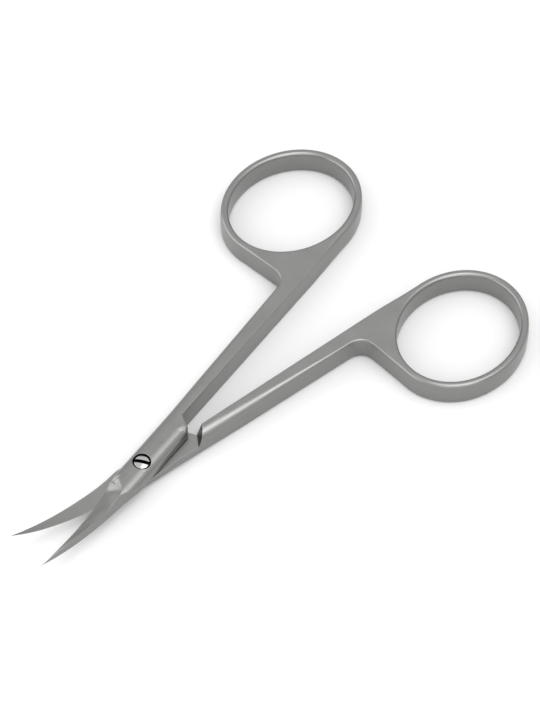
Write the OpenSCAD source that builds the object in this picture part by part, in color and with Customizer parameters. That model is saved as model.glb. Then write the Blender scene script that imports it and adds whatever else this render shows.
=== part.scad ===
/* [Blank] */
// Thickness of each forged half at the shank and the ring
blank_t = 4.7; // [4.5:0.1:5]
// Opening angle between the halves as the scissors lie at rest
rest_open = 16; // [0:1:40]
// Clearance between the two mating faces
face_gap = 0.06; // [0.04:0.01:0.1]

/* [Rings] */
// Distance from the pivot to the centre of a finger opening, along the half
ring_x = 57; // [55:0.5:60]
// Distance from the centre plane to the centre of a finger opening
ring_y = 11.2; // [11.2:0.1:12]
// Long inside diameter of a finger opening
ring_long = 22.6; // [20:0.2:22.8]
// Short inside diameter of a finger opening
ring_short = 19; // [17:0.2:19]
// Tilt of the long diameter towards the centre plane
ring_tilt = 14; // [10:1:14]
// Width of the ring's band
ring_band = 1.5; // [1.2:0.1:1.5]

/* [Shanks] */
// Half of the gap between the two shanks when closed
shank_gap = 0.15; // [0.15:0.05:0.3]
// Outer side of the shank where it leaves the box, from the centre plane
shank_y_box = 2.4; // [2.2:0.1:2.6]
// Outer side of the shank where it meets the ring, from the centre plane
shank_y_ring = 2.8; // [2.6:0.05:3]
// Radius of the fillet between the shank and the ring
crotch_r = 2.6; // [1.5:0.1:3]

/* [Box joint] */
// Half of the width of the box
box_half_w = 2.4; // [2.2:0.1:2.5]
// Distance from the pivot to the end of the box on the centre plane
box_x = 11; // [10.5:0.1:11.5]
// How far the box end slants back over its half width
box_slant = 1.5; // [1:0.1:2]
// How far the shoulder leans back over its height
shoulder_lean = 0.9; // [0:0.1:1.2]

/* [Blades] */
// Distance from the pivot to the tip of the upper half's blade
upper_reach = 26.2; // [25:0.1:27]
// Distance from the pivot to the tip of the lower half's blade
lower_reach = 25.3; // [25:0.1:27]
// Radius of the upward curve of the blades
curve_r = 39; // [36:1:48]
// Distance from the pivot at which the upward curve starts
curve_start = 7; // [6.5:0.5:8]
// Set-off of the cutting edge from the half's axis at the heel
edge_y = 2.2; // [2.1:0.05:2.3]
// Set-off of the blade's back from the half's axis at the heel
back_y = 1.75; // [1.7:0.05:1.9]
// Height of the blade's ridge over the mating surface, just past the heel
blade_h = 1.6; // [1.4:0.1:1.8]
// Depth of the hollow grind at the heel
hollow = 0.14; // [0:0.02:0.2]

/* [Pivot screw] */
// Radius of the screw's head
head_r = 1.25; // [1.2:0.05:1.35]
// Radius of the recess around the head
recess_r = 1.5; // [1.45:0.05:1.6]
// Radius of the plain shaft that the upper half turns on
shaft_r = 0.95; // [0.9:0.05:1]
// Radius of the threaded end, drawn at its outside
thread_r = 0.8; // [0.7:0.05:0.85]
// Width of the screwdriver slot
slot_w = 0.6; // [0.4:0.05:0.7]

/* [Hidden] */
mid_z = blank_t / 2;
steel = [0.6, 0.6, 0.59];
bright_steel = [0.82, 0.82, 0.83];

// Running clearances of the shaft, the thread, the head's seat and the shoulder
shaft_gap = 0.04;
thread_gap = 0.03;
seat_gap = 0.03;
shoulder_gap = 0.08;

// Head of the screw: height, dome, set below the top face, slot depth and slot direction
head_h = 1;
head_dome = 0.2;
head_sink = 0.05;
slot_depth = 0.45;
slot_turn = -60;
screw_foot = 0.15;

// Plan of the half: ring's leftmost point, left side of the web, and number of points on its curves
ring_out_long = ring_long / 2 + ring_band;
ring_out_short = ring_short / 2 + ring_band;
ring_left = ring_x - norm([ring_out_long * cos(ring_tilt), ring_out_short * sin(ring_tilt)]);
web_x = ring_left - 0.65;
ring_steps = 96;
fillet_steps = 12;
curve_steps = 14;

// Blade: where the box ends and the full grind starts, slopes of its sides, land along the ridge, and tip
heel_x = 3;
grind_x = 8;
edge_slope = 0.112;
back_slope = 0.076;
heel_flare = (box_half_w - back_y) / (grind_x - heel_x);
tip_curl_x = 20;
tip_curl = 0.0094;
ridge_lean = 0.2;
ridge_land = 0.15;
ridge_drop = 1.2;
top_share = 0.96;
ridge_power = 3;
tip_h = 0.15;
tip_w = 0.12;
blade_steps = 20;
grind_steps = 4;

// Cutting tools reach this far past the blank
wide = 40;
past = 1;

// Height of the mating surface above the rest plane, at a distance r from the pivot
function mate_z(r) = mid_z + curve_r - sqrt(pow(curve_r, 2) - pow(max(r - curve_start, 0), 2));

// Points of a ring's oval, grown by grow on all sides
function ring_points(grow) = [
    for (i = [0 : ring_steps - 1])
        let (
            a = 360 * i / ring_steps,
            u = (ring_long / 2 + grow) * cos(a),
            v = (ring_short / 2 + grow) * sin(a)
        )
        [
            ring_x + u * cos(ring_tilt) + v * sin(ring_tilt),
            ring_y - u * sin(ring_tilt) + v * cos(ring_tilt)
        ]
];

// Points of the fillet in the crotch, from the shank's outer side up to the web
function crotch_points() = [
    for (i = [0 : fillet_steps])
        let (a = 90 * i / fillet_steps)
        [
            web_x - crotch_r + crotch_r * sin(a),
            shank_y_ring + crotch_r - crotch_r * cos(a)
        ]
];

// Set-off of the cutting edge at a distance d from the pivot
function edge_at(d) =
    edge_y - edge_slope * max(d - curve_start, 0) - tip_curl * pow(max(d - tip_curl_x, 0), 2);

// Set-off of the back at a distance d from the pivot
function back_at(d) =
    -back_y + back_slope * max(d - curve_start, 0) - heel_flare * max(grind_x - d, 0);

// Distance from the pivot to a blade's tip: side is 1 for the upper half and -1 for the lower half
function reach(side) = side > 0 ? upper_reach : lower_reach;

// Height of the ridge over the mating surface at a distance d from the pivot: it drops from the box's top
function ridge_h(d, side) =
    let (
        run = max(d - grind_x, 0),
        s = run / (reach(side) - grind_x),
        drop = (mid_z - blade_h) * exp(-run / ridge_drop)
    )
    tip_h + (blade_h - tip_h) * (1 - pow(s, ridge_power)) + drop;

// A point of a blade: the outer faces look up on the upper half and down on the lower half
function blade_point(d, y, h, side) = [-d, side * y, mate_z(norm([d, y])) + side * h];

// Cross section of a blade: up the ground facet from the edge, over the ridge and down the back
function blade_section(d, side) =
    let (
        h = ridge_h(d, side),
        box_share = 1 - max(min((d - heel_x) / (grind_x - heel_x), 1), 0),
        dip = hollow * (1 - box_share) * h / blade_h,
        b = back_at(d),
        e = max(edge_at(d), b + tip_w),
        lean = ridge_lean * (1 - box_share),
        ridge = b + lean * h,
        top = ridge + max((e - ridge) * box_share * top_share, ridge_land * h)
    )
    concat(
        [blade_point(d, e, -past, side)],
        [
            for (i = [0 : grind_steps])
                let (
                    s = i / grind_steps,
                    rise = h * (box_share + (1 - box_share) * s) - dip * sin(180 * s)
                )
                blade_point(d, e + (top - e) * s, rise, side)
        ],
        [blade_point(d, ridge, h, side), blade_point(d, b - lean * past, -past, side)]
    );

// Skin over a row of equal sections, closed at both ends
module loft(sections) {
    rows = len(sections);
    n = len(sections[0]);
    points = [for (s = sections) each s];
    sides = [
        for (r = [0 : rows - 2], i = [0 : n - 1])
            let (j = (i + 1) % n)
            each [
                [r * n + i, r * n + j, (r + 1) * n + j],
                [r * n + i, (r + 1) * n + j, (r + 1) * n + i]
            ]
    ];
    first = [for (i = [n - 1 : -1 : 0]) i];
    last = [for (i = [0 : n - 1]) (rows - 1) * n + i];
    faces = concat(sides, [first, last]);
    polyhedron(points, faces);
}

// Blade with its ground facet, drawn a little past the mating surface
module blade(side) {
    start = heel_x - past / 2;
    loft([
        for (i = [0 : blade_steps])
            blade_section(start + (reach(side) - start) * i / blade_steps, side)
    ]);
}

// Plan of the shank, the web at the crotch and the ring
module handle_plan() {
    difference() {
        union() {
            polygon(ring_points(ring_band));
            polygon(concat(
                [[0, shank_gap], [ring_x, shank_gap], [ring_x, ring_y], [ring_left, ring_y + 1]],
                [for (i = [fillet_steps : -1 : 0]) crotch_points()[i]],
                [[box_x, shank_y_box], [0, shank_y_box]]
            ));
        }
        polygon(ring_points(0));
    }
}

// Plan of the box, which reaches across the centre plane
module box_plan() {
    polygon([
        [-heel_x, -box_half_w],
        [box_x - box_slant, -box_half_w],
        [box_x, 0],
        [box_x, box_half_w],
        [-heel_x, box_half_w]
    ]);
}

// Everything on the other half's side of the flat mating face, up to the leaning shoulder
module lap_cut(side) {
    face = mid_z + side * face_gap / 2;
    far = side > 0 ? -past : blank_t + past;
    far_u = shoulder_lean * abs(far - mid_z) / mid_z;
    intersection() {
        translate([box_x + shoulder_gap, 0, 0])
            rotate([0, 0, atan(box_slant / box_half_w)])
                rotate([90, 0, 0])
                    linear_extrude(2 * wide, center = true)
                        polygon([[-wide, far], [far_u, far], [0, face], [-wide, face]]);
        translate([-past, -wide, -wide]) cube(2 * wide);
    }
}

// Everything on the other half's side of the curved mating surface, as a surface turned about the pivot
module mate_cut(side) {
    end = reach(side) + past;
    far = side > 0 ? -past : blank_t + 3 * past + mate_z(end);
    rotate([0, 0, 90])
        rotate_extrude(angle = 180, $fn = 120)
            polygon(concat(
                [[0, far], [0, mid_z + side * face_gap / 2]],
                [
                    for (i = [0 : curve_steps])
                        let (r = curve_start + (end - curve_start) * i / curve_steps)
                        [r, mate_z(r) + side * face_gap / 2]
                ],
                [[end, far]]
            ));
}

// One forged half before its holes are drilled: ring, shank, box and blade in one piece
module forged_half(side) {
    difference() {
        union() {
            mirror([0, side > 0 ? 0 : 1, 0]) {
                linear_extrude(blank_t) handle_plan();
                linear_extrude(blank_t) box_plan();
            }
            blade(side);
        }
        mirror([0, side > 0 ? 0 : 1, 0]) lap_cut(side);
        mate_cut(side);
    }
}

// Half with the upper box, bored for the shaft and recessed for the head
module upper_half() {
    color(steel)
        rotate([0, 0, rest_open / 2])
            difference() {
                forged_half(1);
                cylinder(r = shaft_r + shaft_gap, h = wide, center = true, $fn = 64);
                translate([0, 0, blank_t - head_sink - head_h]) cylinder(r = recess_r, h = wide, $fn = 64);
            }
}

// Half with the lower box, which holds the threaded end
module lower_half() {
    color(steel)
        rotate([0, 0, -rest_open / 2])
            difference() {
                forged_half(-1);
                cylinder(r = thread_r + thread_gap, h = wide, center = true, $fn = 64);
            }
}

// Slotted screw with a domed head
module pivot_screw() {
    seat = blank_t - head_sink - head_h + seat_gap;
    top = blank_t - head_sink;
    color(bright_steel)
        difference() {
            rotate_extrude($fn = 64)
                polygon([
                    [0, screw_foot],
                    [thread_r, screw_foot],
                    [thread_r, mid_z],
                    [shaft_r, mid_z],
                    [shaft_r, seat],
                    [head_r, seat],
                    [head_r, top - head_dome],
                    [head_r * 0.6, top - head_dome * 0.36],
                    [0, top]
                ]);
            rotate([0, 0, slot_turn])
                translate([-wide / 2, -slot_w / 2, top - slot_depth])
                    cube([wide, slot_w, wide]);
        }
}

upper_half();
lower_half();
pivot_screw();
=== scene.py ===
import math

import bpy
import bmesh
import numpy as np
from mathutils import Matrix, Vector
from mathutils.geometry import tessellate_polygon


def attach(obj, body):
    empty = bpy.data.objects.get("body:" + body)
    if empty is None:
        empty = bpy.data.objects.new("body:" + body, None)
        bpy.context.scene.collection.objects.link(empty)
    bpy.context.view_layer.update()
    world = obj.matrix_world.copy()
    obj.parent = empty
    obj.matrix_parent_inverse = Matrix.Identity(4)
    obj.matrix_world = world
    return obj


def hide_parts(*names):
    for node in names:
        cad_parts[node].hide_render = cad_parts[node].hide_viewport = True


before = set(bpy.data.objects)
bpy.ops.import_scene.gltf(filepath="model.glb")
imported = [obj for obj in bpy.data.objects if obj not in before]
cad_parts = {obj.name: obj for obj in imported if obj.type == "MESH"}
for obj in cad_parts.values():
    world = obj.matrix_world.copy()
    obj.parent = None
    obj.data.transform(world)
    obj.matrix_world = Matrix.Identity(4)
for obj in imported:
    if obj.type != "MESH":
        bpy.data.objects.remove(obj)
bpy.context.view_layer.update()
scene = bpy.context.scene

# All lengths below are in millimetres and are turned to metres when a mesh is made.
MM = 0.001

# Camera of the photograph, in metres: its place, the way it looks, its right-hand side and its lens.
EYE = (-0.19413, -0.21386, 0.43650)
AHEAD = (0.41985, 0.40112, -0.81414)
RIGHTWARD = (0.69079, -0.72305, 0.0)
LENS = 162.18

# Sizes of the scissors, the same as in the CAD source.
BLANK_T = 4.7
MID_Z = BLANK_T / 2
REST_OPEN = 16.0
FACE_GAP = 0.06
RING_X = 57.0
RING_Y = 11.2
RING_LONG = 22.6
RING_SHORT = 19.0
RING_TILT = math.radians(14.0)
RING_BAND = 1.5
WEB_STEP = 0.65
SHANK_GAP = 0.15
SHANK_Y_BOX = 2.4
SHANK_Y_RING = 2.8
CROTCH_R = 2.6
BOX_HALF_W = 2.4
BOX_X = 11.0
BOX_SLANT = 1.5
SHOULDER_LEAN = 0.9
SHOULDER_GAP = 0.08
UPPER_REACH = 26.2
LOWER_REACH = 25.3
CURVE_R = 39.0
CURVE_START = 7.0
EDGE_Y = 2.2
EDGE_SLOPE = 0.112
BACK_Y = 1.75
BACK_SLOPE = 0.076
TIP_CURL_X = 20.0
TIP_CURL = 0.0094
HOLLOW = 0.14
HEEL_X = 3.0
GRIND_X = 8.0
TIP_H = 0.15
TIP_W = 0.12
HEAD_R = 1.25
RECESS_R = 1.5
SHAFT_R = 0.95
SHAFT_GAP = 0.04
THREAD_R = 0.8
THREAD_GAP = 0.03
SLOT_W = 0.6
SLOT_DEPTH = 0.45
SLOT_TURN = math.radians(-60.0)
HEAD_H = 1.0
HEAD_DOME = 0.2
HEAD_SINK = 0.05
SEAT_GAP = 0.03
SCREW_FOOT = 0.15

# Screw's details that the CAD source leaves out: thread form and rounded rim of the head.
THREAD_PITCH = 0.35
THREAD_DEPTH = 0.13
HEAD_RIM_W = 0.07
HEAD_RIM_H = 0.06

# Ridge of the blades, a little lower and leaning a little more than the CAD source's sharp one.
BLADE_H = 1.5
RIDGE_LEAN = 0.3
BACK_LAND = 0.15

# Roundings of the forging's edges, which the CAD source leaves sharp.
BOX_ROUND = 1.1
CROTCH_ROUND = 0.28
RING_ROUND = 0.52
INNER_ROUND = 0.14
INNER_UNDER_ROUND = 0.2
UNDER_ROUND = 0.5
RIDGE_ROUND = 0.1
CORNER_ROUND = 1.4
CORNER_END_ROUND = 0.35
FILLET_ROUND = 0.25
INNER_FILLET = 0.6
BACK_CREASE = 0.03

# Bulge of the sides, how much wider than high the box's roundings are, and breaks of sharp rims.
WALL_BULGE = 0.13
BOX_BULGE = 0.3
TOP_CROWN = 1.45
LAP_CHAMFER = 0.3
RIM_BREAK = 0.1
RECESS_BREAK = 0.05
FOOT_BREAK = 0.15

# The wheel that ground the blades: its nose and its steepest side.
WHEEL_R = 3.0
WHEEL_SLOPE = math.radians(42.0)

# Line along which the wheel bit into the box: a slant across it that runs out along the back.
BITE_X = 4.06
BITE_SLANT = 0.56
BITE_RUN_OUT = 4.15
BITE_FADE = 0.5

# Nick across the upper blade's run-out: place, slant, depth, width and its inner end.
NICK_X = 5.3
NICK_SLANT = 0.28
NICK_DEPTH = 0.13
NICK_W = 0.08
NICK_Y = 1.1

# Shallow grind of the mating faces: depth, and the distances from the pivot where it sets in.
INNER_GRIND = 0.08
INNER_GRIND_X = 4.8
INNER_GRIND_FULL_X = 5.6

# Widths of the patterns on the steel: finishing marks, clouds of the barrel finish, worn polish.
GRAIN_W = 0.1613
CLOUD_W = 3.125
WEAR_W = 0.6667

# The handle's outline counts as ring past this distance from the pivot.
RING_START = 43.0

# Numbers of points: bottom rounding, wall, top rounding, across a blade's ground face, round ovals.
BOTTOM_STEPS = 6
WALL_STEPS = 3
TOP_STEPS = 10
FACET_STEPS = 34
OVAL_STEPS = 720
HOLE_STEPS = 240
OUTLINE_STEP = 0.3

# The lap cutter starts this far out, past the blades' tips.
CUTTER_L = 30.0


# Camera
def place_camera():
    """Camera where the photograph was taken from, looking down at the open scissors."""
    data = bpy.data.cameras.new("photo_camera")
    data.sensor_fit = "AUTO"
    data.sensor_width = 36.0
    data.lens = LENS
    data.clip_start = 0.01
    data.clip_end = 20.0
    camera = bpy.data.objects.new("photo_camera", data)
    scene.collection.objects.link(camera)
    forward = Vector(AHEAD).normalized()
    right = Vector(RIGHTWARD).normalized()
    up = right.cross(forward)
    turn = Matrix((right, up, -forward)).transposed().to_4x4()
    camera.matrix_world = Matrix.Translation(EYE) @ turn
    scene.camera = camera


# Shapes of one half, in its own closed frame
def reach_of(side):
    """Distance from the pivot to the tip of the upper (1) or lower (-1) blade."""
    return UPPER_REACH if side > 0 else LOWER_REACH


def mate_z(x, y):
    """Height of the surface on which the halves slide over each other."""
    r = np.hypot(x, y)
    return MID_Z + CURVE_R - np.sqrt(CURVE_R**2 - np.maximum(r - CURVE_START, 0.0) ** 2)


def ease(x, start, end):
    """0 before start, 1 after end, with a smooth S between them."""
    s = np.clip((np.asarray(x, float) - start) / (end - start), 0.0, 1.0)
    return s * s * (3.0 - 2.0 * s)


def softened(x, values, reach):
    """values along x with their kinks rounded over about reach."""
    gap = np.abs(np.gradient(x))
    out = np.empty_like(values)
    for i, at in enumerate(x):
        weight = np.exp(-0.5 * ((x - at) / reach) ** 2) * gap
        mean = np.sum(weight * values) / np.sum(weight)
        # Both ends of the line stay where they are.
        far = min(abs(at - x[0]), abs(x[-1] - at))
        keep = np.exp(-0.5 * (far / reach) ** 2)
        out[i] = keep * values[i] + (1.0 - keep) * mean
    return out


def back_y(d):
    """Set-off of the blade's back at a distance d from the pivot."""
    flare = (BOX_HALF_W - BACK_Y) * (1.0 - ease(d, HEEL_X - 1.2, GRIND_X))
    return -BACK_Y + BACK_SLOPE * np.maximum(d - CURVE_START, 0.0) - flare


def edge_y(d):
    """Set-off of the cutting edge at a distance d from the pivot."""
    flare = (BOX_HALF_W - EDGE_Y) * (1.0 - ease(d, HEEL_X, CURVE_START))
    curl = TIP_CURL * np.maximum(d - TIP_CURL_X, 0.0) ** 2
    run = EDGE_Y - EDGE_SLOPE * np.maximum(d - CURVE_START, 0.0) - curl
    return np.maximum(run + flare, back_y(d) + TIP_W)


def ridge_h(d, side):
    """Height of the blade's ridge over the mating surface: it drops from the box's top."""
    s = np.clip((d - GRIND_X) / (reach_of(side) - GRIND_X), 0.0, 1.0)
    drop = (MID_Z - BLADE_H) * (1.0 - ease(d, 6.9, 10.5))
    return TIP_H + (BLADE_H - TIP_H) * (1.0 - s**3) + drop


def back_lean(d):
    """How far the ground back leans in for each millimetre of its height."""
    return RIDGE_LEAN * ease(d, 4.5, 7.5)


def grind_start(y):
    """Distance from the pivot at which the grinding wheel bit into the box, by set-off."""
    run_out = BITE_RUN_OUT * np.exp(-(y + BACK_Y) / BITE_FADE)
    return BITE_X + BITE_SLANT * (BOX_HALF_W - y) + run_out


def wheel_rise(run):
    """Height of the wheel's nose over its lowest line, at a distance run before that line."""
    run = np.maximum(run, 0.0)
    arc = np.minimum(run, WHEEL_R * math.sin(WHEEL_SLOPE))
    return WHEEL_R - np.sqrt(WHEEL_R**2 - arc**2) + math.tan(WHEEL_SLOPE) * (run - arc)


def wheel_run(depth):
    """Distance over which the wheel rises by depth."""
    depth = np.maximum(depth, 0.0)
    arc = np.minimum(depth, WHEEL_R * (1.0 - math.cos(WHEEL_SLOPE)))
    return np.sqrt(WHEEL_R**2 - (WHEEL_R - arc) ** 2) + (depth - arc) / math.tan(WHEEL_SLOPE)


def blade_height(d, y, side):
    """Height of the blade's outer face over the mating surface: box, run-out and hollow facet."""
    e = edge_y(d)
    h = ridge_h(d, side)
    land = BACK_LAND * (1.0 - ease(d, 9.0, 14.0))
    ridge = back_y(d) + back_lean(d) * h + land
    s = np.clip((e - y) / np.maximum(e - ridge, 0.02), 0.0, 1.0)
    facet = h * s - HOLLOW * np.minimum(h / BLADE_H, 1.0) * np.sin(np.pi * s)
    depth = h - facet
    spare = wheel_rise(grind_start(y) + wheel_run(depth) - d) - depth
    # The bite is crisp along the back and softly rubbed over towards the cutting edge.
    rubbed = 3.0 * ease(y, 0.2, 1.0) * (1.0 - ease(d, 6.0, 8.0))
    soft = RIDGE_ROUND * h / MID_Z * (1.0 + rubbed)
    height = h + 0.5 * (spare - np.sqrt(spare**2 + soft**2))
    if side > 0:
        run = d - NICK_X - NICK_SLANT * (EDGE_Y - y)
        nick = NICK_DEPTH * np.exp(-((run / NICK_W) ** 2))
        height = height - nick * ease(y, NICK_Y, NICK_Y + 0.2)
    return height


def edge_offset(z, low, high, r_low, r_high, bulge, chamfer=0.0, lap=MID_Z, crown=1.0):
    """How far the side stands in from its widest line at height z."""
    z = np.asarray(z, float)
    middle = 0.5 * (low + high)
    half = 0.5 * (high - low)
    offset = bulge * ((z - middle) / half) ** 2
    # A groove round the middle leaves a chamfer on both halves once they are lapped.
    offset = offset + np.maximum(chamfer - np.abs(z - lap), 0.0)
    top = np.clip((z - (high - r_high)) / max(r_high, 1e-6), 0.0, 1.0)
    bottom = np.clip(((low + r_low) - z) / max(r_low, 1e-6), 0.0, 1.0)
    offset = offset + crown * r_high * (1.0 - np.sqrt(1.0 - top**2))
    offset = offset + crown * r_low * (1.0 - np.sqrt(1.0 - bottom**2))
    return offset


def edge_levels(low, high, r_low, r_high, lap=MID_Z):
    """Heights of the rows of a side: close together on both roundings, and three about the lap."""
    a = np.linspace(0.0, math.pi / 2, BOTTOM_STEPS)
    b = np.linspace(0.0, math.pi / 2, TOP_STEPS)
    bottom = low + r_low * (1.0 - np.cos(a))
    top = high - r_high + r_high * np.sin(b)
    near = lap + np.array([-1.0, 0.0, 1.0]) * LAP_CHAMFER
    if bottom[-1] < near[0] - 0.02 and near[2] + 0.02 < top[0]:
        lower = np.linspace(bottom[-1], near[0], WALL_STEPS + 2)[1:-1]
        upper = np.linspace(near[2], top[0], WALL_STEPS + 2)[1:-1]
        wall = np.concatenate([lower, near, upper])
    else:
        wall = np.linspace(bottom[-1], top[0], 2 * WALL_STEPS + 5)[1:-1]
    return np.concatenate([bottom, wall, top])


def lap_chamfer(x):
    """Size of the chamfer along the lapped edges, larger towards the box end."""
    return LAP_CHAMFER * (0.35 + 0.65 * float(ease(x, 0.0, 9.0)))


def heel_chamfer(d):
    """Size of the lapped edges' chamfer past the heel, where it runs out into the blade."""
    return lap_chamfer(-HEEL_X) * (1.0 - float(ease(d, HEEL_X, 5.5)))


def side_column(p, n, low, high, r_low, r_high, bulge, chamfer=0.0, crown=1.0):
    """One column of points up a side: p on the widest line, n the way into the steel."""
    z = edge_levels(low, high, r_low, r_high)
    off = edge_offset(z, low, high, r_low, r_high, bulge, chamfer, MID_Z, crown)
    return np.column_stack([p[0] + n[0] * off, p[1] + n[1] * off, z])


def ring_curve(grow, count):
    """Points of a ring's oval, grown by grow on all sides."""
    a = np.linspace(0.0, 2 * math.pi, count, endpoint=False)
    u = (RING_LONG / 2 + grow) * np.cos(a)
    v = (RING_SHORT / 2 + grow) * np.sin(a)
    x = RING_X + u * math.cos(RING_TILT) + v * math.sin(RING_TILT)
    y = RING_Y - u * math.sin(RING_TILT) + v * math.cos(RING_TILT)
    return np.column_stack([x, y])


def resampled(points, step):
    """Points spaced evenly along a line of points."""
    points = np.asarray(points, float)
    gaps = np.hypot(*np.diff(points, axis=0).T)
    run = np.concatenate([[0.0], np.cumsum(gaps)])
    count = max(2, int(round(run[-1] / step)) + 1)
    at = np.linspace(0.0, run[-1], count)
    return np.column_stack([np.interp(at, run, points[:, 0]), np.interp(at, run, points[:, 1])])


def inward(points):
    """Unit vectors to the left of a line of points."""
    along = np.gradient(points, axis=0)
    along = along / np.hypot(along[:, 0], along[:, 1])[:, None]
    return np.column_stack([-along[:, 1], along[:, 0]])


def handle_line():
    """Outline of the handle: inner side, round the ring, web, crotch and outer side of the shank."""
    outer = ring_curve(RING_BAND, OVAL_STEPS)
    lowest = int(np.argmin(outer[:, 1]))
    leftmost = int(np.argmin(outer[:, 0]))
    steps = (leftmost - lowest) % OVAL_STEPS
    ring = [outer[i % OVAL_STEPS] for i in range(lowest, lowest + steps + 1)]
    web_x = outer[leftmost][0] - WEB_STEP
    centre = np.array([web_x - CROTCH_R, SHANK_Y_RING + CROTCH_R])
    turn = np.radians(np.linspace(0.0, -90.0, 16))
    crotch = [centre + CROTCH_R * np.array([math.cos(a), math.sin(a)]) for a in turn]
    # The inner side starts just past the fillet at the box's end.
    start = [BOX_X + 0.43, SHANK_GAP]
    line = [start] + ring + crotch + [[BOX_X, SHANK_Y_BOX], [-HEEL_X, BOX_HALF_W]]
    line = resampled(line, OUTLINE_STEP)
    run = np.arange(len(line)) * OUTLINE_STEP
    reach = 1.5 * OUTLINE_STEP
    return np.column_stack([softened(run, line[:, 0], reach), softened(run, line[:, 1], reach)])


def heel_rows(side):
    """Distances from the pivot of the rows across heel and blade: closest together at the nick."""
    close = np.arange(HEEL_X, 5.2, 0.08)
    nicked = np.arange(5.2, 5.8, 0.035)
    ground = np.arange(5.8, 9.0, 0.08)
    far = np.linspace(9.0, reach_of(side), 72)
    return np.concatenate([close, nicked, ground, far])


def back_profile(d, side, h):
    """Set-off of the back at a height h over the mating surface: forged side, cut by the grind."""
    h = np.asarray(h, float)
    z = MID_Z + side * h
    forged = edge_offset(
        z, 0.0, BLANK_T, BOX_ROUND, BOX_ROUND, BOX_BULGE, heel_chamfer(d), MID_Z, TOP_CROWN
    )
    # At the heel the ground face stands clear, so that the forged side runs on from the box.
    clear = 0.12 * (1.0 - ease(d, HEEL_X, 4.0))
    ground = back_y(d) + BOX_HALF_W + back_lean(d) * np.maximum(h, 0.0) - clear
    crease = BACK_CREASE**2 * float(ease(d, HEEL_X, 3.6))
    return -BOX_HALF_W + 0.5 * (forged + ground + np.sqrt((forged - ground) ** 2 + crease))


def back_column(d, side, margin):
    """One column of points up the back of the heel or blade, to where the facet cuts it off."""
    low = 0.0
    high = MID_Z
    for _ in range(40):
        tall = 0.5 * (low + high)
        if blade_height(d, float(back_profile(d, side, tall)), side) > tall:
            low = tall
        else:
            high = tall
    tall = max(tall, 0.02)
    outer = min(BOX_ROUND, 0.45 * tall)
    # Only the first row has the box's rounding on the other half's side too.
    inner = BOX_ROUND if d < HEEL_X + 0.05 else 0.05
    if side > 0:
        h = edge_levels(-margin, tall, inner, outer, 0.0)
    else:
        h = -edge_levels(-tall, margin, outer, inner, 0.0)
    y = back_profile(d, side, h)
    return np.column_stack([np.full(len(h), -d), y, mate_z(d, y) + side * h])


def edge_column(d, side, margin):
    """One column of points up the cutting side of the heel or blade."""
    y = float(edge_y(d))
    mate = float(mate_z(d, y))
    tall = max(float(blade_height(d, y, side)), 0.02)
    share = float(ease(d, HEEL_X, 6.2))
    outer = BOX_ROUND + (RIDGE_ROUND - BOX_ROUND) * share
    outer = min(outer, 0.45 * tall, 0.3 * float(edge_y(d) - back_y(d)))
    bulge = BOX_BULGE * (1.0 - share)
    crown = 1.0 + (TOP_CROWN - 1.0) * (1.0 - share)
    if side > 0:
        low, high, r_low, r_high = mate - margin, mate + tall, 0.05, outer
    else:
        low, high, r_low, r_high = mate - tall, mate + margin, outer, 0.05
    z = edge_levels(low, high, r_low, r_high, mate)
    off = edge_offset(z, low, high, r_low, r_high, bulge, heel_chamfer(d), mate, crown)
    return np.column_stack([np.full(len(z), -d), y - off, z])


def blade_sides(side):
    """Columns of points up the cutting side and the back of the heel and blade, and their rows."""
    rows = heel_rows(side)
    margins = MID_Z - (MID_Z - 1.0) * ease(rows, HEEL_X, 6.0)
    cutting = [edge_column(d, side, margin) for d, margin in zip(rows, margins)]
    back = [back_column(d, side, margin) for d, margin in zip(rows, margins)]
    return rows, cutting, back


def handle_sides():
    """Columns of points up the side of the handle, from the inner fillet round to the heel."""
    line = handle_line()
    columns = []
    for (x, y), way in zip(line, inward(line)):
        chamfer = 0.0
        crown = 1.0
        if y < 1.0 and x < RING_X:
            # The inner side is nearly sharp along the shank and gets round where it joins the ring.
            share = float(ease(x, 48.0, 56.0))
            r_high = INNER_ROUND + (RING_ROUND - INNER_ROUND) * share
            r_low = INNER_UNDER_ROUND + (UNDER_ROUND - INNER_UNDER_ROUND) * share
            bulge = WALL_BULGE * share
        elif x > RING_START:
            # The ring's edge gets crisper down the web towards the crotch.
            share = 1.0 if x > RING_X else float(ease(y, 6.0, 12.0))
            r_high = CROTCH_ROUND + (RING_ROUND - CROTCH_ROUND) * share
            r_low = UNDER_ROUND
            bulge = WALL_BULGE
        else:
            # The box's round side runs out along the shank.
            share = float(ease(x, 0.0, 20.0))
            r_high = BOX_ROUND + (CROTCH_ROUND - BOX_ROUND) * float(np.clip((x - BOX_X) / 27.5, 0, 1))
            r_low = BOX_ROUND + (UNDER_ROUND - BOX_ROUND) * share
            bulge = BOX_BULGE + (WALL_BULGE - BOX_BULGE) * share
            crown = 1.0 + (TOP_CROWN - 1.0) * (1.0 - float(ease(x, 30.0, 42.0)))
            chamfer = lap_chamfer(x) * (1.0 - float(ease(x, 9.6, 10.4)))
        columns.append(side_column((x, y), way, 0.0, BLANK_T, r_low, r_high, bulge, chamfer, crown))
    return columns


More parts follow.
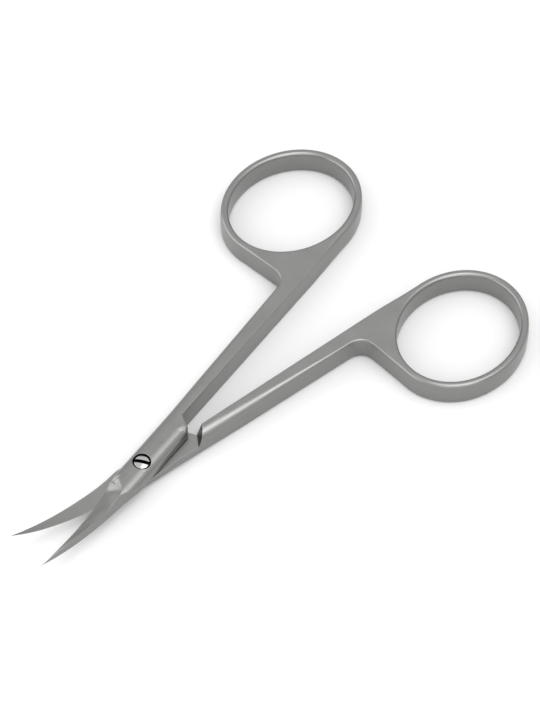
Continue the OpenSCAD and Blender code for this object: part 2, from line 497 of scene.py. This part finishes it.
def box_sides():
    """Columns from the heel along the box's inner side, round its slanted end and into the fillet."""
    columns = []
    end_way = np.array([BOX_SLANT, BOX_HALF_W]) / math.hypot(BOX_SLANT, BOX_HALF_W)
    end_in = np.array([-end_way[1], end_way[0]])
    first = math.atan2(end_in[1], end_in[0])
    corner_turn = first - math.pi / 2
    corner_x = BOX_X - BOX_SLANT - CORNER_ROUND * math.tan(corner_turn / 2)
    # Along the inner side.
    for x in np.linspace(-HEEL_X, corner_x, 30)[1:]:
        p = (x, -BOX_HALF_W)
        r = BOX_ROUND
        columns.append(
            side_column(p, (0.0, 1.0), 0.0, BLANK_T, r, r, BOX_BULGE, lap_chamfer(x), TOP_CROWN)
        )
    # Round the corner.
    centre = np.array([corner_x, -BOX_HALF_W + CORNER_ROUND])
    for turned in np.linspace(0.0, 1.0, 15)[1:]:
        a = math.pi / 2 + corner_turn * turned
        way = np.array([math.cos(a), math.sin(a)])
        share = float(ease(turned, 0.0, 1.0))
        r = BOX_ROUND + (CORNER_END_ROUND - BOX_ROUND) * share
        crown = TOP_CROWN + (1.0 - TOP_CROWN) * share
        bulge = BOX_BULGE * (1.0 - share)
        p = centre - CORNER_ROUND * way
        columns.append(side_column(p, way, 0.0, BLANK_T, r, r, bulge, LAP_CHAMFER, crown))
    corner = columns[-1]
    # Fillet between the slanted end and the shank's inner side.
    centre_y = SHANK_GAP - INNER_FILLET
    centre_x = BOX_X + (-INNER_FILLET - end_in[1] * centre_y) / end_in[0]
    centre = np.array([centre_x, centre_y])
    fillet = []
    for share in np.linspace(0.0, 1.0, 8):
        a = first + (math.pi / 2 - first) * share
        way = np.array([math.cos(a), math.sin(a)])
        r = FILLET_ROUND + (INNER_ROUND - FILLET_ROUND) * share
        p = centre + INNER_FILLET * way
        fillet.append(side_column(p, way, 0.0, BLANK_T, r, r, 0.0, LAP_CHAMFER * (1.0 - share)))
    # Straight across the slanted end, from the corner to the fillet.
    for share in np.linspace(0.0, 1.0, 9)[1:-1]:
        columns.append(corner + (fillet[0] - corner) * share)
    return columns + fillet


def row_across(d, side, first, final):
    """Points of the blade's outer face between the two ends of one row."""
    share = np.linspace(0.0, 1.0, FACET_STEPS + 1)[1:-1]
    y = first[1] + (final[1] - first[1]) * share
    z = mate_z(d, y) + side * blade_height(d, y, side)
    # The row meets both of its end points, which stand a little below the facet's own line.
    ends = np.array([first[1], final[1]])
    miss = np.array([first[2], final[2]]) - mate_z(d, ends) - side * blade_height(d, ends, side)
    z = z + np.exp(-share / 0.04) * miss[0] + np.exp(-(1.0 - share) / 0.04) * miss[1]
    return np.column_stack([np.full(len(y), -d), y, z])


def band_faces(first, count, levels):
    """Faces of a closed wall whose columns of points start at the point first."""
    faces = []
    for i in range(count):
        a = first + i * levels
        b = first + (i + 1) % count * levels
        for k in range(levels - 1):
            faces.append((a + k, b + k, b + k + 1, a + k + 1))
    return faces


def flat_faces(points, rim, hole, up):
    """Triangles of a flat inside a rim and round a hole, facing up or down."""
    ids = rim + hole
    faces = []
    for tri in tessellate_polygon([[Vector(points[i]) for i in rim], [Vector(points[i]) for i in hole]]):
        a, b, c = (points[ids[t]] for t in tri)
        area = (b[0] - a[0]) * (c[1] - a[1]) - (b[1] - a[1]) * (c[0] - a[0])
        face = tuple(ids[t] for t in tri)
        faces.append(face if (area > 0) == up else face[::-1])
    return faces


def half_skin(side):
    """Closed skin of one half before it is lapped: points and faces, in its own closed frame."""
    rows, cutting, back = blade_sides(side)
    around = back[::-1] + box_sides() + handle_sides() + cutting[1:]
    levels = len(around[0])
    count = len(around)
    last = len(rows) - 1
    points = [point for column in around for point in column]
    faces = band_faces(0, count, levels)
    outer_level = levels - 1 if side > 0 else 0
    inner_level = 0 if side > 0 else levels - 1
    # First points of the columns at each row's ends. The handle's last column is the first row's.
    edge_ids = [(count - last + row - 1) * levels for row in range(last + 1)]
    back_ids = [(last - row) * levels for row in range(last + 1)]
    across = []
    for row, d in enumerate(rows):
        a = edge_ids[row] + outer_level
        b = back_ids[row] + outer_level
        between = range(len(points), len(points) + FACET_STEPS - 1)
        points.extend(row_across(d, side, points[a], points[b]))
        across.append([a, *between, b])
    # Outer face of heel and blade, the closing face under it, and the tip.
    for row in range(last):
        for k in range(FACET_STEPS):
            face = (across[row][k], across[row][k + 1], across[row + 1][k + 1], across[row + 1][k])
            faces.append(face[::-1] if side > 0 else face)
        face = (edge_ids[row], back_ids[row], back_ids[row + 1], edge_ids[row + 1])
        face = tuple(i + inner_level for i in face)
        faces.append(face if side > 0 else face[::-1])
    faces.append(tuple(across[last]))
    # The finger opening's own wall.
    hole_line = ring_curve(0.0, HOLE_STEPS)
    hole_in = -inward(np.vstack([hole_line[-1:], hole_line, hole_line[:1]]))[1:-1]
    hole_start = len(points)
    for p, way in zip(hole_line, hole_in):
        points.extend(side_column(p, way, 0.0, BLANK_T, UNDER_ROUND, RING_ROUND, WALL_BULGE))
    faces += [face[::-1] for face in band_faces(hole_start, HOLE_STEPS, levels)]
    # Flat top and bottom of the box, shank, web and ring.
    for level, up in ((levels - 1, True), (0, False)):
        rim = [i * levels + level for i in range(last, count - last)]
        if level == outer_level:
            rim = rim + across[0][1:-1]
        hole = [hole_start + i * levels + level for i in range(HOLE_STEPS)]
        faces += flat_faces(points, rim, hole, up)
    points = np.array(points)
    if side < 0:
        points[:, 1] *= -1.0
        faces = [face[::-1] for face in faces]
    return points, faces


def as_mesh(name, points, faces):
    """Mesh in metres from points in millimetres, welded, with its normals outwards."""
    mesh = bpy.data.meshes.new(name)
    mesh.from_pydata([tuple(p) for p in np.asarray(points) * MM], [], faces)
    work = bmesh.new()
    work.from_mesh(mesh)
    bmesh.ops.remove_doubles(work, verts=work.verts, dist=2e-7)
    bmesh.ops.dissolve_degenerate(work, edges=work.edges, dist=1e-8)
    bmesh.ops.recalc_face_normals(work, faces=work.faces)
    for face in work.faces:
        face.smooth = True
    work.to_mesh(mesh)
    work.free()
    item = bpy.data.objects.new(name, mesh)
    scene.collection.objects.link(item)
    return item


def lathe(name, outline, steps=96, start=0.0, sweep=2 * math.pi):
    """Solid turned about the pivot from an outline of (radius, height) points."""
    full = sweep > 2 * math.pi - 0.01
    angles = np.linspace(start, start + sweep, steps + (0 if full else 1), endpoint=not full)
    points = [(r * math.cos(a), r * math.sin(a), z) for a in angles for r, z in outline]
    n = len(outline)
    turns = len(angles)
    faces = []
    for i in range(turns if full else turns - 1):
        j = (i + 1) % turns
        for k in range(n):
            m = (k + 1) % n
            if outline[k][0] > 0.0 or outline[m][0] > 0.0:
                faces.append((i * n + k, j * n + k, j * n + m, i * n + m))
    if not full:
        faces.append(tuple(range(n)))
        faces.append(tuple((turns - 1) * n + k for k in range(n)))
    return as_mesh(name, points, faces)


def mating_cutter(side):
    """Everything on the other half's side of the curved mating surface, on the blades' side."""
    end = reach_of(side) + 1.0
    far = -1.0 if side > 0 else 12.0
    start = np.linspace(INNER_GRIND_X, INNER_GRIND_FULL_X, 12)
    r = np.concatenate([[0.0, HEEL_X], start, np.arange(CURVE_START, end, 0.25), [end]])
    grind = side * INNER_GRIND * ease(r, INNER_GRIND_X, INNER_GRIND_FULL_X)
    top = np.column_stack([r, mate_z(r, 0.0) + side * FACE_GAP / 2 + grind])
    outline = np.vstack([top, [[end, far], [0.0, far]]])
    return lathe("mating_cutter", outline, 150, math.pi / 2, math.pi)


def lap_cutter(side):
    """Everything on the other half's side of the flat lap, up to the leaning shoulder."""
    face = MID_Z + side * FACE_GAP / 2
    rim = MID_Z - side * MID_Z
    far = rim - side
    lean = SHOULDER_LEAN / MID_Z
    near = MID_Z - RIM_BREAK
    broken = SHOULDER_LEAN + 1.4 * RIM_BREAK
    profile = [
        (-CUTTER_L, far),
        (broken + lean, far),
        (broken, rim),
        (lean * near, MID_Z - side * near),
        (0.0, face),
        (-CUTTER_L, face),
    ]
    turn = math.atan2(BOX_SLANT, BOX_HALF_W) * side
    points = []
    for y in (-40.0, 40.0):
        for u, z in profile:
            x = BOX_X + SHOULDER_GAP + u * math.cos(turn) - y * math.sin(turn)
            points.append((x, u * math.sin(turn) + y * math.cos(turn), z))
    n = len(profile)
    faces = [tuple(range(n)), tuple(range(n, 2 * n))]
    for k in range(n):
        m = (k + 1) % n
        faces.append((k, m, n + m, n + k))
    prism = as_mesh("lap_cutter", points, faces)
    # Beyond the pivot the mating cutter takes over.
    keep = block("lap_limit", (-1.0, -40.0, -2.0), (40.0, 40.0, 20.0))
    return cut(prism, keep, "INTERSECT")


def bore_cutter(side):
    """Bore and counterbore of the upper half, or the lower half's tapped hole with its countersink."""
    if side > 0:
        bore = SHAFT_R + SHAFT_GAP
        floor = BLANK_T - HEAD_SINK - HEAD_H
        outline = [
            (0.0, -1.0),
            (bore, -1.0),
            (bore, floor),
            (RECESS_R, floor),
            (RECESS_R, BLANK_T - RECESS_BREAK),
            (RECESS_R + 2 * RECESS_BREAK, BLANK_T + RECESS_BREAK),
            (RECESS_R + 2 * RECESS_BREAK, BLANK_T + 2.0),
            (0.0, BLANK_T + 2.0),
        ]
    else:
        bore = THREAD_R + THREAD_GAP
        outline = [
            (0.0, -1.0),
            (bore + FOOT_BREAK, -1.0),
            (bore + FOOT_BREAK, 0.0),
            (bore, FOOT_BREAK),
            (bore, 9.0),
            (0.0, 9.0),
        ]
    return lathe("bore_cutter", outline)


def block(name, low, high):
    """Plain cutting block between two corners."""
    points = [(x, y, z) for x in (low[0], high[0]) for y in (low[1], high[1]) for z in (low[2], high[2])]
    faces = [(0, 1, 3, 2), (4, 6, 7, 5), (0, 4, 5, 1), (2, 3, 7, 6), (0, 2, 6, 4), (1, 5, 7, 3)]
    return as_mesh(name, points, faces)


def baked(item):
    """item with its modifiers worked into its mesh."""
    graph = bpy.context.evaluated_depsgraph_get()
    graph.update()
    mesh = bpy.data.meshes.new_from_object(item.evaluated_get(graph))
    item.modifiers.clear()
    old = item.data
    item.data = mesh
    bpy.data.meshes.remove(old)
    mesh.name = item.name
    return item


def cut(item, cutter, operation="DIFFERENCE"):
    """item less the cutter, or its overlap with it. The cutter is then thrown away."""
    step = item.modifiers.new("cut", "BOOLEAN")
    step.operation = operation
    step.solver = "MANIFOLD"
    step.object = cutter
    baked(item)
    bpy.data.objects.remove(cutter)
    return item


def without_folds(item):
    """item without the folded slivers that splitting its faces leaves: triangles with a free edge."""
    work = bmesh.new()
    work.from_mesh(item.data)
    folds = [face for face in work.faces if any(len(edge.link_faces) < 2 for edge in face.edges)]
    if folds:
        bmesh.ops.delete(work, geom=folds, context="FACES")
        work.to_mesh(item.data)
    work.free()
    return item


def eased_edges(item, angle=30.0):
    """Smooth roundings against crisp edges, with the flats kept flat by their area."""
    work = bmesh.new()
    work.from_mesh(item.data)
    bmesh.ops.remove_doubles(work, verts=work.verts, dist=1e-6)
    bmesh.ops.dissolve_degenerate(work, edges=work.edges, dist=1e-7)
    for edge in work.edges:
        edge.smooth = edge.calc_face_angle(0.0) < math.radians(angle)
    for face in work.faces:
        face.smooth = True
    work.to_mesh(item.data)
    work.free()
    weigh = item.modifiers.new("flats", "WEIGHTED_NORMAL")
    weigh.mode = "FACE_AREA"
    weigh.weight = 60
    weigh.keep_sharp = True
    split = item.modifiers.new("triangles", "TRIANGULATE")
    split.keep_custom_normals = True
    return without_folds(baked(item))


def steel_half(name, side, material):
    """One half of the scissors: lapped, bored and turned to its place at rest."""
    points, faces = half_skin(side)
    half = as_mesh(name, points, faces)
    cut(half, lap_cutter(side))
    cut(half, mating_cutter(side))
    cut(half, bore_cutter(side))
    half.data.transform(Matrix.Rotation(math.radians(side * REST_OPEN / 2), 4, "Z"))
    eased_edges(half)
    half.data.materials.clear()
    half.data.materials.append(material)
    return half


# Nodes
def add(tree, kind, inputs=None, **settings):
    """Adds a node, sets its properties, and fills or links its sockets."""
    item = tree.nodes.new(kind)
    for key, value in settings.items():
        setattr(item, key, value)
    for key, value in (inputs or {}).items():
        if isinstance(value, bpy.types.NodeSocket):
            tree.links.new(value, item.inputs[key])
        else:
            item.inputs[key].default_value = value
    return item


def linear(hex_colour):
    """sRGB hex to the linear colour a shader socket takes."""
    out = []
    for i in (0, 2, 4):
        c = int(hex_colour[i : i + 2], 16) / 255.0
        out.append(c / 12.92 if c <= 0.04045 else ((c + 0.055) / 1.055) ** 2.4)
    return (*out, 1.0)


# Pivot screw
def screw_outline():
    """Half section of the screw as (radius, height) points, from the foot up to the dome."""
    seat = BLANK_T - HEAD_SINK - HEAD_H + SEAT_GAP
    top = BLANK_T - HEAD_SINK
    rim = top - HEAD_DOME - HEAD_RIM_H
    dome_r = HEAD_R - HEAD_RIM_W
    # Foot with a broken edge, then the rows that the thread is cut into.
    points = [(0.0, SCREW_FOOT), (THREAD_R - 0.25, SCREW_FOOT), (THREAD_R - 0.1, SCREW_FOOT + 0.1)]
    points += [(THREAD_R, z) for z in np.linspace(SCREW_FOOT + 0.2, MID_Z - 0.1, 70)]
    # Plain shaft, the under side of the head with a broken edge, and the head's side.
    points += [(SHAFT_R, MID_Z), (SHAFT_R, seat), (HEAD_R - 0.05, seat), (HEAD_R, seat + 0.05)]
    points += [(HEAD_R, z) for z in np.linspace(seat + 0.2, rim, 4)]
    # Rounded rim and low dome.
    for a in np.linspace(0.0, 1.0, 5)[1:]:
        points.append((HEAD_R - HEAD_RIM_W * a * a, rim + HEAD_RIM_H * math.sin(a * math.pi / 2)))
    for s in np.linspace(0.0, 1.0, 18)[1:]:
        r = dome_r * (1.0 - s)
        points.append((r, top - HEAD_DOME * (r / dome_r) ** 2))
    return points


def screw_tree(material):
    """Geometry nodes that turn the half section, cut the thread into it and cut the slot."""
    tree = bpy.data.node_groups.new("turned_screw", "GeometryNodeTree")
    face = tree.interface
    face.new_socket("Half Section", in_out="INPUT", socket_type="NodeSocketGeometry")
    sizes = (
        ("Steps Around", "NodeSocketInt", 96),
        ("Rows", "NodeSocketInt", 2),
        ("Thread Pitch", "NodeSocketFloat", THREAD_PITCH * MM),
        ("Thread Depth", "NodeSocketFloat", THREAD_DEPTH * MM),
        ("Thread Top", "NodeSocketFloat", (MID_Z - 0.15) * MM),
        ("Slot Width", "NodeSocketFloat", SLOT_W * MM),
        ("Slot Floor", "NodeSocketFloat", (BLANK_T - HEAD_SINK - SLOT_DEPTH) * MM),
        ("Slot Turn", "NodeSocketFloat", SLOT_TURN),
    )
    for name, kind, value in sizes:
        face.new_socket(name, in_out="INPUT", socket_type=kind).default_value = value
    face.new_socket("Screw", in_out="OUTPUT", socket_type="NodeSocketGeometry")
    given = add(tree, "NodeGroupInput").outputs
    grid = add(
        tree,
        "GeometryNodeMeshGrid",
        {"Size X": 1.0, "Size Y": 1.0, "Vertices X": given["Rows"], "Vertices Y": given["Steps Around"]},
    )
    where = add(tree, "GeometryNodeInputPosition").outputs["Position"]
    part = add(tree, "ShaderNodeSeparateXYZ", {"Vector": where}).outputs
    row_share = add(tree, "ShaderNodeMath", {0: part["X"], 1: 0.5}, operation="ADD").outputs[0]
    last_row = add(tree, "ShaderNodeMath", {0: given["Rows"], 1: 1.0}, operation="SUBTRACT").outputs[0]
    row = add(tree, "ShaderNodeMath", {0: row_share, 1: last_row}, operation="MULTIPLY").outputs[0]
    row = add(tree, "ShaderNodeMath", {0: row}, operation="ROUND").outputs[0]
    lap = add(tree, "ShaderNodeMath", {0: part["Y"], 1: 0.5}, operation="ADD").outputs[0]
    angle = add(tree, "ShaderNodeMath", {0: lap, 1: 2 * math.pi}, operation="MULTIPLY").outputs[0]
    section = add(
        tree,
        "GeometryNodeSampleIndex",
        {"Geometry": given["Half Section"], "Value": where, "Index": row},
        data_type="FLOAT_VECTOR",
        domain="POINT",
    )
    on_line = add(tree, "ShaderNodeSeparateXYZ", {"Vector": section.outputs["Value"]}).outputs
    # The thread is a zigzag of one pitch, shifted by one pitch in each lap.
    climbs = add(
        tree, "ShaderNodeMath", {0: on_line["Z"], 1: given["Thread Pitch"]}, operation="DIVIDE"
    ).outputs[0]
    climbs = add(tree, "ShaderNodeMath", {0: climbs, 1: lap}, operation="SUBTRACT").outputs[0]
    tooth = add(tree, "ShaderNodeMath", {0: climbs, 1: 0.5}, operation="PINGPONG").outputs[0]
    tooth = add(tree, "ShaderNodeMath", {0: tooth, 1: 2.0}, operation="MULTIPLY").outputs[0]
    below = add(
        tree, "ShaderNodeMath", {0: on_line["Z"], 1: given["Thread Top"]}, operation="LESS_THAN"
    ).outputs[0]
    outside = add(
        tree, "ShaderNodeMath", {0: on_line["X"], 1: (THREAD_R - 0.01) * MM}, operation="GREATER_THAN"
    ).outputs[0]
    here = add(tree, "ShaderNodeMath", {0: below, 1: outside}, operation="MULTIPLY").outputs[0]
    cut_in = add(
        tree, "ShaderNodeMath", {0: tooth, 1: given["Thread Depth"]}, operation="MULTIPLY"
    ).outputs[0]
    cut_in = add(tree, "ShaderNodeMath", {0: cut_in, 1: here}, operation="MULTIPLY").outputs[0]
    radius = add(tree, "ShaderNodeMath", {0: on_line["X"], 1: cut_in}, operation="SUBTRACT").outputs[0]
    cosine = add(tree, "ShaderNodeMath", {0: angle}, operation="COSINE").outputs[0]
    sine = add(tree, "ShaderNodeMath", {0: angle}, operation="SINE").outputs[0]
    x = add(tree, "ShaderNodeMath", {0: radius, 1: cosine}, operation="MULTIPLY").outputs[0]
    y = add(tree, "ShaderNodeMath", {0: radius, 1: sine}, operation="MULTIPLY").outputs[0]
    place = add(tree, "ShaderNodeCombineXYZ", {"X": x, "Y": y, "Z": on_line["Z"]}).outputs[0]
    turned = add(
        tree, "GeometryNodeSetPosition", {"Geometry": grid.outputs["Mesh"], "Position": place}
    ).outputs[0]
    welded = add(
        tree, "GeometryNodeMergeByDistance", {"Geometry": turned, "Distance": 0.0005 * MM}
    ).outputs[0]
    slot_size = add(
        tree, "ShaderNodeCombineXYZ", {"X": 4 * MM, "Y": given["Slot Width"], "Z": 2 * MM}
    ).outputs[0]
    slot_z = add(tree, "ShaderNodeMath", {0: given["Slot Floor"], 1: MM}, operation="ADD").outputs[0]
    slot_at = add(tree, "ShaderNodeCombineXYZ", {"Z": slot_z}).outputs[0]
    slot_turn = add(tree, "ShaderNodeCombineXYZ", {"Z": given["Slot Turn"]}).outputs[0]
    bar = add(tree, "GeometryNodeMeshCube", {"Size": slot_size}).outputs[0]
    bar = add(
        tree,
        "GeometryNodeTransform",
        {"Geometry": bar, "Translation": slot_at, "Rotation": slot_turn},
    ).outputs[0]
    slotted = add(
        tree,
        "GeometryNodeMeshBoolean",
        {"Mesh 1": welded, "Mesh 2": bar},
        operation="DIFFERENCE",
        solver="MANIFOLD",
    ).outputs[0]
    real = add(tree, "GeometryNodeRealizeInstances", {"Geometry": slotted}).outputs[0]
    done = add(tree, "GeometryNodeSetMaterial", {"Geometry": real, "Material": material}).outputs[0]
    add(tree, "NodeGroupOutput", {"Screw": done})
    return tree


def steel_screw(name, material):
    """Slotted pivot screw, turned by geometry nodes from its half section."""
    outline = screw_outline()
    mesh = bpy.data.meshes.new(name)
    mesh.from_pydata([(r * MM, 0.0, z * MM) for r, z in outline], [], [])
    screw = bpy.data.objects.new(name, mesh)
    scene.collection.objects.link(screw)
    step = screw.modifiers.new("turned", "NODES")
    step.node_group = screw_tree(material)
    for socket in step.node_group.interface.items_tree:
        if socket.item_type == "SOCKET" and socket.name == "Rows":
            step[socket.identifier] = len(outline)
    baked(screw)
    work = bmesh.new()
    work.from_mesh(screw.data)
    bmesh.ops.recalc_face_normals(work, faces=work.faces)
    work.to_mesh(screw.data)
    work.free()
    return eased_edges(screw, 28.0)


def satin_steel():
    """Stainless steel, ground, then barrel finished: grey with softly blurred reflections."""
    material = bpy.data.materials.new("satin_stainless")
    material.use_nodes = True
    tree = material.node_tree
    tree.nodes.clear()
    spot = add(tree, "ShaderNodeTexCoord").outputs["Object"]
    part = add(tree, "ShaderNodeSeparateXYZ", {"Vector": spot}).outputs
    # Marks of the finishing media are about 0.1 mm across; drawn at 0.16 mm so that they show.
    grain = add(
        tree,
        "ShaderNodeTexNoise",
        {"Vector": spot, "Scale": 1.0 / (GRAIN_W * MM), "Detail": 2.0, "Roughness": 0.6},
    ).outputs["Fac"]
    # The barrel leaves slow changes of gloss and tone, some 3 mm across.
    cloud = add(
        tree,
        "ShaderNodeTexNoise",
        {"Vector": spot, "Scale": 1.0 / (CLOUD_W * MM), "Detail": 3.0, "Roughness": 0.55},
    ).outputs["Fac"]
    gloss = add(
        tree,
        "ShaderNodeMapRange",
        {"Value": cloud, "From Min": 0.3, "From Max": 0.7, "To Min": 0.27, "To Max": 0.36},
    ).outputs["Result"]
    tone = add(
        tree,
        "ShaderNodeMix",
        {"Factor": cloud, "A": linear("838382"), "B": linear("8A8A89")},
        data_type="RGBA",
    ).outputs["Result"]
    # Edges are rubbed brighter and smoother than the flats, which shows as thin light lines.
    flat = add(tree, "ShaderNodeNewGeometry").outputs["Normal"]
    rounded = add(tree, "ShaderNodeBevel", {"Radius": 0.2 * MM}, samples=4).outputs["Normal"]
    turn = add(
        tree, "ShaderNodeVectorMath", {0: flat, 1: rounded}, operation="DOT_PRODUCT"
    ).outputs["Value"]
    worn = add(
        tree, "ShaderNodeMapRange", {"Value": turn, "From Min": 0.98, "From Max": 0.8}
    ).outputs["Result"]
    tone = add(
        tree, "ShaderNodeMix", {"Factor": worn, "A": tone, "B": linear("9A9A98")}, data_type="RGBA"
    ).outputs["Result"]
    gloss = add(tree, "ShaderNodeMix", {"Factor": worn, "A": gloss, "B": 0.24}).outputs["Result"]
    # Painted shade: the wall of the seat round the screw's head, below its rim, is painted dark.
    level = add(tree, "ShaderNodeCombineXYZ", {"X": part["X"], "Y": part["Y"]}).outputs[0]
    radius = add(
        tree, "ShaderNodeVectorMath", {0: level}, operation="LENGTH"
    ).outputs["Value"]
    near = add(
        tree,
        "ShaderNodeMapRange",
        {"Value": radius, "From Min": (RECESS_R + 0.06) * MM, "From Max": (RECESS_R + 0.03) * MM},
    ).outputs["Result"]
    deep = add(
        tree,
        "ShaderNodeMapRange",
        {"Value": part["Z"], "From Min": (BLANK_T - 0.04) * MM, "From Max": (BLANK_T - 0.12) * MM},
    ).outputs["Result"]
    painted_shade = add(tree, "ShaderNodeMath", {0: near, 1: deep}, operation="MULTIPLY").outputs[0]
    tone = add(
        tree, "ShaderNodeMix", {"Factor": painted_shade, "A": tone, "B": linear("1C1B1A")}, data_type="RGBA"
    ).outputs["Result"]
    soft = add(tree, "ShaderNodeBevel", {"Radius": 0.06 * MM}, samples=4).outputs["Normal"]
    pits = add(
        tree,
        "ShaderNodeBump",
        {"Height": grain, "Strength": 0.1, "Distance": 0.03 * MM, "Normal": soft},
    ).outputs["Normal"]
    shader = add(
        tree,
        "ShaderNodeBsdfPrincipled",
        {"Base Color": tone, "Metallic": 1.0, "Roughness": gloss, "Normal": pits},
    )
    add(tree, "ShaderNodeOutputMaterial", {"Surface": shader.outputs[0]})
    return material


def polished_steel():
    """Stainless steel turned on a lathe and polished: bright, with clear reflections."""
    material = bpy.data.materials.new("polished_stainless")
    material.use_nodes = True
    tree = material.node_tree
    tree.nodes.clear()
    spot = add(tree, "ShaderNodeTexCoord").outputs["Object"]
    # Handling dulls the polish in patches of some 0.7 mm.
    wear = add(
        tree,
        "ShaderNodeTexNoise",
        {"Vector": spot, "Scale": 1.0 / (WEAR_W * MM), "Detail": 3.0, "Roughness": 0.6},
    ).outputs["Fac"]
    gloss = add(
        tree,
        "ShaderNodeMapRange",
        {"Value": wear, "From Min": 0.3, "From Max": 0.7, "To Min": 0.12, "To Max": 0.2},
    ).outputs["Result"]
    # Painted shade darkens the slot: everything in the head nearer to its middle line than its walls.
    across = (-math.sin(SLOT_TURN), math.cos(SLOT_TURN), 0.0)
    off = add(
        tree, "ShaderNodeVectorMath", {0: spot, 1: across}, operation="DOT_PRODUCT"
    ).outputs["Value"]
    off = add(tree, "ShaderNodeMath", {0: off}, operation="ABSOLUTE").outputs[0]
    in_slot = add(
        tree,
        "ShaderNodeMapRange",
        {"Value": off, "From Min": (SLOT_W / 2 + 0.03) * MM, "From Max": (SLOT_W / 2 + 0.01) * MM},
    ).outputs["Result"]
    height = add(tree, "ShaderNodeSeparateXYZ", {"Vector": spot}).outputs["Z"]
    seat = BLANK_T - HEAD_SINK - HEAD_H
    in_head = add(
        tree,
        "ShaderNodeMapRange",
        {"Value": height, "From Min": (seat + 0.15) * MM, "From Max": (seat + 0.25) * MM},
    ).outputs["Result"]
    painted_shade = add(tree, "ShaderNodeMath", {0: in_slot, 1: in_head}, operation="MULTIPLY").outputs[0]
    tone = add(
        tree,
        "ShaderNodeMix",
        {"Factor": painted_shade, "A": linear("B0B0AF"), "B": linear("1C1B1A")},
        data_type="RGBA",
    ).outputs["Result"]
    # The turning marks run round the head and draw the reflections out towards its middle.
    round_way = add(tree, "ShaderNodeTangent", direction_type="RADIAL", axis="Z").outputs[0]
    shader = add(
        tree,
        "ShaderNodeBsdfPrincipled",
        {
            "Base Color": tone,
            "Metallic": 1.0,
            "Roughness": gloss,
            "Anisotropic": 0.6,
            "Tangent": round_way,
        },
    )
    add(tree, "ShaderNodeOutputMaterial", {"Surface": shader.outputs[0]})
    return material


# Surroundings, in metres
def pale_floor():
    """Plain white table top that keeps the scissors' soft shadow."""
    # It lies a hair under the rest plane, clear of the faces that stand on it.
    half = 3.0
    level = -0.00003
    corners = [(-half, -half, level), (half, -half, level), (half, half, level), (-half, half, level)]
    mesh = bpy.data.meshes.new("table_top")
    mesh.from_pydata(corners, [], [(0, 1, 2, 3)])
    floor = bpy.data.objects.new("table_top", mesh)
    scene.collection.objects.link(floor)
    material = bpy.data.materials.new("white_table")
    material.use_nodes = True
    tree = material.node_tree
    tree.nodes.clear()
    matt = add(tree, "ShaderNodeBsdfDiffuse", {"Color": linear("DADADA")})
    add(tree, "ShaderNodeOutputMaterial", {"Surface": matt.outputs[0]})
    mesh.materials.append(material)


def lamp(name, turn, rise, distance, size, brightness):
    """Soft square lamp seen from the scissors at a turn and a rise in degrees, facing them."""
    turn = math.radians(turn)
    rise = math.radians(rise)
    way = Vector((math.cos(rise) * math.cos(turn), math.cos(rise) * math.sin(turn), math.sin(rise)))
    data = bpy.data.lights.new(name, "AREA")
    data.shape = "RECTANGLE"
    data.size = size[0]
    data.size_y = size[1]
    # A lamp's power is its brightness times pi times its area.
    data.energy = brightness * math.pi * size[0] * size[1]
    item = bpy.data.objects.new(name, data)
    item.location = way * distance
    item.rotation_euler = way.to_track_quat("Z", "Y").to_euler()
    scene.collection.objects.link(item)


def studio_light():
    """White room, brighter overhead, with soft boxes above and in front and two panels on the left."""
    world = bpy.data.worlds.new("white_room")
    world.use_nodes = True
    tree = world.node_tree
    tree.nodes.clear()
    way = add(tree, "ShaderNodeTexCoord").outputs["Generated"]
    rise = add(tree, "ShaderNodeSeparateXYZ", {"Vector": way}).outputs["Z"]
    # The room is dimmer towards the floor, which gives the upright sides their darker grey.
    glow = add(
        tree,
        "ShaderNodeMapRange",
        {"Value": rise, "From Min": 0.0, "From Max": 0.5, "To Min": 0.65, "To Max": 1.1},
    ).outputs["Result"]
    sky = add(tree, "ShaderNodeBackground", {"Color": (1, 1, 1, 1), "Strength": glow})
    add(tree, "ShaderNodeOutputWorld", {"Surface": sky.outputs[0]})
    scene.world = world
    lamp("overhead_softbox", -70.0, 76.0, 1.2, (0.9, 0.8), 2.7)
    lamp("front_softbox", -122.0, 35.0, 1.2, (1.15, 0.9), 1.15)
    lamp("left_low_panel", 140.0, 14.0, 1.2, (2.0, 0.8), 1.5)
    lamp("left_high_panel", 140.0, 40.0, 1.2, (1.8, 0.6), 0.5)
    scene.view_settings.view_transform = "Standard"


place_camera()
satin = satin_steel()
polished = polished_steel()
upper = steel_half("upper_steel", 1, satin)
lower = steel_half("lower_steel", -1, satin)
screw = steel_screw("pivot_screw_steel", polished)
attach(upper, "upper_half")
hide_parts("upper_half")
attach(lower, "lower_half")
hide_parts("lower_half")
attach(screw, "pivot_screw")
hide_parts("pivot_screw")
pale_floor()
studio_light()
